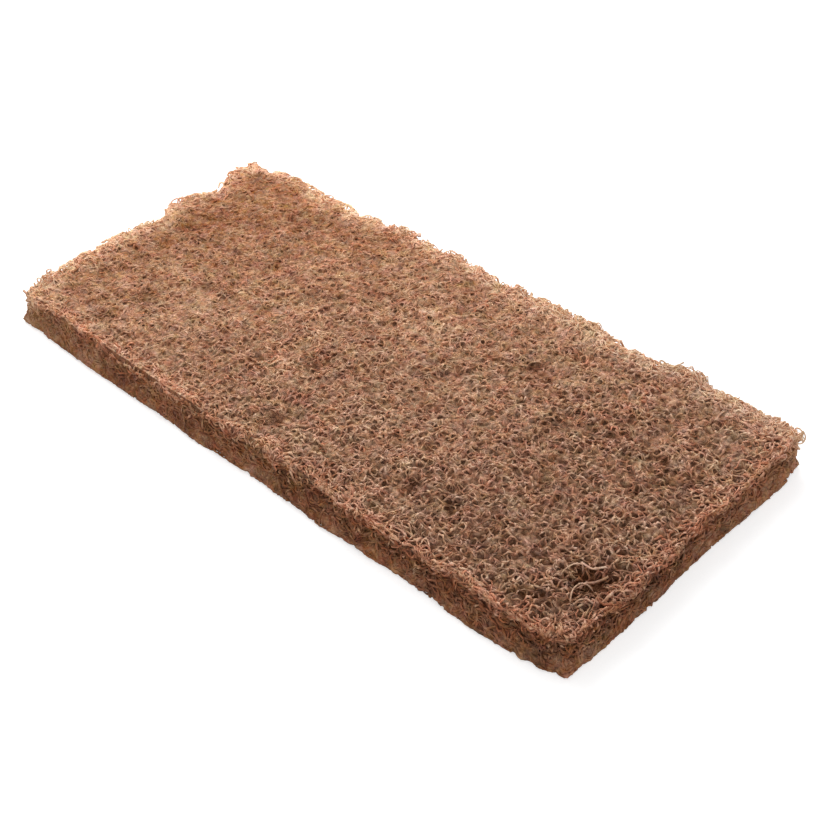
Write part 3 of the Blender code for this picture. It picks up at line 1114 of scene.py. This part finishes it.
def add_node(tree, kind, settings=None, inputs=None):
    """Add a node, set its settings, and set or link its inputs; a link is given as an output socket."""
    node = tree.nodes.new(kind)
    for label, value in (settings or {}).items():
        setattr(node, label, value)
    for label, value in (inputs or {}).items():
        if isinstance(value, bpy.types.NodeSocket):
            tree.links.new(value, node.inputs[label])
        else:
            node.inputs[label].default_value = value
    return node


def math_node(tree, operation, first, second=0.0, third=0.0, clamp=False):
    """The output of a Math node, held between 0 and 1 if clamp is set; each value is a number or a socket."""
    settings = {"operation": operation, "use_clamp": clamp}
    return add_node(tree, "ShaderNodeMath", settings, {0: first, 1: second, 2: third}).outputs[0]


def line_node(tree, value, slope, start):
    """A value times a slope, plus a start."""
    return math_node(tree, "MULTIPLY_ADD", value, slope, start)


def swing_node(tree, mask, amount, value, clamp=False):
    """A value moved by an amount times the mask's distance from a half."""
    return math_node(tree, "MULTIPLY_ADD", math_node(tree, "SUBTRACT", mask, 0.5), amount, value, clamp)


def noise_node(tree, scale, settings=None, **inputs):
    """The value of a Noise Texture in Object coordinates."""
    inputs["Vector"] = add_node(tree, "ShaderNodeTexCoord").outputs["Object"]
    return add_node(tree, "ShaderNodeTexNoise", settings, {"Scale": scale, **inputs}).outputs["Fac"]


def attribute_node(tree, label):
    """The value of an attribute of the mesh's points."""
    return add_node(tree, "ShaderNodeAttribute", {"attribute_name": label}).outputs["Fac"]


def ramp_node(tree, value, stops):
    """The colour output of a Color Ramp through stops of (place, colour). A new ramp has two stops, so
    the first two given are its ends, and the others are added between them."""
    node = add_node(tree, "ShaderNodeValToRGB", None, {"Fac": value})
    held = node.color_ramp.elements
    for number, (place, colour) in enumerate(stops):
        stop = held[number] if number < 2 else held.new(place)
        stop.position = place
        stop.color = (*colour, 1.0)
    return node.outputs["Color"]


# %% Patches, drawn fibres and grit
FINER_PATCHES = 3.1
LINE_DETAIL = 0.6
GRIT_DETAIL = 3.0
GRIT_SCALE = 4200.0


def make_patches():
    """Slow patches: a broad noise and a smaller one, averaged and stretched to use more of 0 to 1."""
    inputs = {"Scale": 70.0, "Contrast": 2.4}
    group, given, made = new_group("web_patches", inputs, {"Mask": "NodeSocketFloat"})
    broad = noise_node(group, given.outputs["Scale"])
    small = noise_node(group, math_node(group, "MULTIPLY", given.outputs["Scale"], FINER_PATCHES))
    spread = line_node(group, math_node(group, "ADD", broad, small), 0.5, -0.5)
    group.links.new(line_node(group, spread, given.outputs["Contrast"], 0.5), made.inputs["Mask"])
    return group


def make_drawn_fibres():
    """Curly lines where a noise is near its middle value: one less the distance from it over a width."""
    inputs = {"Scale": 420.0, "Width": 0.045, "Seed": 0.0}
    group, given, made = new_group("drawn_fibres", inputs, {"Mask": "NodeSocketFloat"})
    noise = noise_node(group, given.outputs["Scale"], {"noise_dimensions": "4D"},
                       W=given.outputs["Seed"], Detail=LINE_DETAIL)
    off = math_node(group, "ABSOLUTE", math_node(group, "SUBTRACT", noise, 0.5))
    line = math_node(group, "SUBTRACT", 1.0, math_node(group, "DIVIDE", off, given.outputs["Width"]))
    group.links.new(math_node(group, "MAXIMUM", line, 0.0), made.inputs["Mask"])
    return group


def make_grit():
    """Grains of abrasive: a fine noise, for height."""
    group, given, made = new_group("grit", {"Scale": GRIT_SCALE}, {"Height": "NodeSocketFloat"})
    group.links.new(noise_node(group, given.outputs["Scale"], Detail=GRIT_DETAIL), made.inputs["Height"])
    return group


PATCHES = make_patches()
DRAWN_FIBRES = make_drawn_fibres()
GRIT = make_grit()

# %% [markdown]
# Both materials take their colour from one more group, the web's browns. It moves a tone by patches
# and clumps and reads it through a ramp, from near black, by dark and mid brown, to pale cream, which
# the tone reaches mostly where glints and light through the far fringe are painted in. More patches
# turn it olive, faded or rusty, and some places are grey with abrasive, more so where the tone is
# pale. Grit roughens the fibres. The body has two sets of drawn fibres, and holes mixed to near black
# as painted shade.

# %% Materials
# The near black of the holes is painted shade: the body's small holes and pits are mixed towards it.
HOLE_SHADE_BROWN = (0.070, 0.024, 0.009)
DEEP_BROWN = (0.115, 0.042, 0.015)
DARK_BROWN = (0.270, 0.112, 0.047)
MID_BROWN = (0.492, 0.256, 0.138)
TAN = (0.770, 0.462, 0.285)
CREAM = (0.980, 0.665, 0.425)
GRIT_PALE = (0.500, 0.385, 0.325)
ORANGE_RED = (0.760, 0.220, 0.095)
BROWNS = ((0.0, DEEP_BROWN), (1.0, CREAM), (0.22, DARK_BROWN), (0.50, MID_BROWN), (0.78, TAN))
# Scale and contrast of the patches that move the tone, broad and in clumps, and of olive, faded and rust
PATCH_KINDS = ((60.0, 2.4), (330.0, 2.4), (170.0, 3.0), (260.0, 3.0), (150.0, 3.4))
PATCH_SWING = 0.36
OLIVE_TURN = 0.035
# Slope and start of lines: of clumps, rust and grey with openness, of fading, and of greying with tone
CLUMP_LINE = (0.52, 0.26)
RUST_LINE = (0.26, 0.14)
GREY_LINE = (0.44, 0.03)
FADE_LINE = (-0.30, 1.15)
GREYING_BY_TONE = (0.70, 0.20)


def plain_material(name, roughness, gloss):
    """A new material, its tree and its Principled shader."""
    material = bpy.data.materials.new(name)
    material.use_nodes = True
    shader = material.node_tree.nodes["Principled BSDF"]
    shader.inputs["Roughness"].default_value = roughness
    shader.inputs["Specular IOR Level"].default_value = gloss
    return material, material.node_tree, shader


def grouped(tree, group, **inputs):
    """Place a node group in a tree with its own values."""
    return add_node(tree, "ShaderNodeGroup", {"node_tree": group}, inputs)


def bump_node(tree, height, distance):
    """The normal output of a Bump node at full strength."""
    inputs = {"Height": height, "Distance": distance, "Strength": 1.0}
    return add_node(tree, "ShaderNodeBump", None, inputs).outputs["Normal"]


def mix_node(tree, share, first, second):
    """The colour output of a Mix node between two colours; each is a socket or a colour."""
    inputs = {0: share}
    for number, value in ((6, first), (7, second)):
        inputs[number] = value if isinstance(value, bpy.types.NodeSocket) else (*value, 1.0)
    return add_node(tree, "ShaderNodeMix", {"data_type": "RGBA"}, inputs).outputs[2]


def make_browns():
    """The web's colour for a tone from 0, dark, to 1, pale: patches and finer clumps move the tone, a
    ramp of browns reads it, other patches tint it olive or rusty, and where the web is open more of
    the greyish abrasive shows."""
    inputs = {"Tone": 0.5, "Red": 0.0, "Open": 0.5}
    group, given, made = new_group("web_browns", inputs, {"Color": "NodeSocketColor"})
    tone, red, opened = (given.outputs[label] for label in inputs)
    patches, clumps, olive, faded, rust = (
        grouped(group, PATCHES, Scale=scale, Contrast=contrast).outputs["Mask"]
        for scale, contrast in PATCH_KINDS)
    moved = swing_node(group, patches, PATCH_SWING, tone)
    moved = swing_node(group, clumps, line_node(group, opened, *CLUMP_LINE), moved)
    aged = add_node(group, "ShaderNodeHueSaturation", None, {
        "Hue": line_node(group, olive, OLIVE_TURN, 0.5 - OLIVE_TURN / 2),
        "Saturation": line_node(group, faded, *FADE_LINE),
        "Color": ramp_node(group, moved, BROWNS),
    })
    rust = swing_node(group, rust, line_node(group, opened, *RUST_LINE), red, clamp=True)
    rusty = mix_node(group, rust, aged.outputs["Color"], ORANGE_RED)
    # The grey share grows with the tone, so painted highlights turn greyer too.
    greying_by_tone = line_node(group, tone, *GREYING_BY_TONE)
    grey = math_node(group, "MULTIPLY", line_node(group, opened, *GREY_LINE), greying_by_tone)
    group.links.new(mix_node(group, grey, rusty, GRIT_PALE), made.inputs["Color"])
    return group


WEB_BROWNS = make_browns()
GRIT_HEIGHT = 0.00003
# Scale and seed of the fine and the coarse drawn fibres
LINE_KINDS = ((520.0, 1.0), (360.0, 5.0))
LINE_WIDTH = 0.08
LINE_TONE = 0.24
LINE_HEIGHT = 0.0005
BODY_RED = 0.06


def make_fibre_finish():
    """Resin-coated fibre: the web's brown for its tone and its red, roughened by grit."""
    material, tree, shader = plain_material("fibre_finish", roughness=0.62, gloss=0.12)
    tone, red, opened = (attribute_node(tree, label) for label in ("tone", "red", "open"))
    brown = grouped(tree, WEB_BROWNS, Tone=tone, Red=red, Open=opened).outputs["Color"]
    tree.links.new(brown, shader.inputs["Base Color"])
    grit = grouped(tree, GRIT, Scale=GRIT_SCALE).outputs["Height"]
    tree.links.new(bump_node(tree, grit, GRIT_HEIGHT), shader.inputs["Normal"])
    return material


def make_body_finish():
    """The matted inside: the web's brown for its tone, two sets of drawn fibres, and small holes mixed to
    near black as painted shade.
    """
    material, tree, shader = plain_material("body_finish", roughness=0.8, gloss=0.05)
    tone, hole, opened = (attribute_node(tree, label) for label in ("tone", "hole", "open"))
    fine, coarse = (
        grouped(tree, DRAWN_FIBRES, Scale=scale, Width=LINE_WIDTH, Seed=seed).outputs["Mask"]
        for scale, seed in LINE_KINDS)
    lines = math_node(tree, "MAXIMUM", fine, coarse)
    raised = line_node(tree, lines, LINE_TONE, tone)
    brown = grouped(tree, WEB_BROWNS, Tone=raised, Red=BODY_RED, Open=opened).outputs["Color"]
    tree.links.new(mix_node(tree, hole, brown, HOLE_SHADE_BROWN), shader.inputs["Base Color"])
    tree.links.new(bump_node(tree, lines, LINE_HEIGHT), shader.inputs["Normal"])
    return material


fibre_finish = make_fibre_finish()
web_body.data.materials.append(make_body_finish())
for piece in fibre_pieces:
    piece.data.materials.append(fibre_finish)

# %% [markdown]
# ## Floor and light
# The picture has a white ground and soft light that comes from behind and above: the far end is
# brightest, and the near sides are in their own shade. A key lamp over the far end and a lower one
# behind the far side do that. A wide lamp in front and a dim white world light the shaded sides a
# little. The ground reads as white to the camera by a glow that only camera, glossy and transmission
# rays see, so the pad still throws its shadow.

# %% Floor, world and lamps
def seen_by_camera(tree):
    """One for rays from the camera, or by reflection or through glass, and nought for the rest."""
    path = add_node(tree, "ShaderNodeLightPath")
    mirrored = math_node(tree, "MAXIMUM", path.outputs["Is Glossy Ray"], path.outputs["Is Transmission Ray"])
    return math_node(tree, "MAXIMUM", path.outputs["Is Camera Ray"], mirrored)


FLOOR_HALF = 1.5
FLOOR_WHITE = 0.76
FLOOR_GLOW = 0.55
corners = np.array([[[-1, -1, 0], [-1, 1, 0]], [[1, -1, 0], [1, 1, 0]]]) * FLOOR_HALF
floor = mesh_object("floor", corners, [grid_faces(2, 2)])
floor_finish, floor_tree, floor_shader = plain_material("floor_finish", roughness=0.9, gloss=0.0)
floor_shader.inputs["Base Color"].default_value = (FLOOR_WHITE, FLOOR_WHITE, FLOOR_WHITE, 1.0)
floor_shader.inputs["Emission Color"].default_value = (1.0, 1.0, 1.0, 1.0)
glow = math_node(floor_tree, "MULTIPLY", seen_by_camera(floor_tree), FLOOR_GLOW)
floor_tree.links.new(glow, floor_shader.inputs["Emission Strength"])
floor.data.materials.append(floor_finish)

WORLD_LIGHT = 0.52
world = bpy.data.worlds.new("studio")
bpy.context.scene.world = world
world.use_nodes = True
sky = world.node_tree.nodes["Background"]
sky.inputs["Color"].default_value = (1.0, 1.0, 1.0, 1.0)
brightness = line_node(world.node_tree, seen_by_camera(world.node_tree), 1.0 - WORLD_LIGHT, WORLD_LIGHT)
world.node_tree.links.new(brightness, sky.inputs["Strength"])


# Name, place, target, size and power of each lamp
LAMPS = (
    ("key_lamp", (-0.30, 0.16, 0.42), (0.0, 0.0, 0.0), 0.45, 2.2),
    ("back_lamp", (-0.42, 0.45, 0.24), (0.0, 0.04, 0.0), 0.50, 1.5),
    ("front_lamp", (0.60, -0.55, 0.60), (0.0, 0.0, 0.0), 0.80, 1.6),
)


def add_lamp(name, place, target, size, power):
    """Add a square area lamp at a place, turned to a target."""
    lamp = bpy.data.objects.new(name, bpy.data.lights.new(name, "AREA"))
    lamp.data.size = size
    lamp.data.energy = power
    lamp.location = place
    lamp.rotation_mode = "QUATERNION"
    lamp.rotation_quaternion = (Vector(target) - Vector(place)).to_track_quat("-Z", "Y")
    bpy.context.scene.collection.objects.link(lamp)


for lamp_values in LAMPS:
    add_lamp(*lamp_values)
bpy.context.scene.view_settings.view_transform = "Standard"

# %% [markdown]
# ## Tell the frame what was made
# Every piece rides on the pad's only body. Together they stand for the plain solid, which is hidden.

# %% Bodies
for piece in fibre_pieces + [web_body]:
    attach(piece, "root")
    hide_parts("fibre_pad")
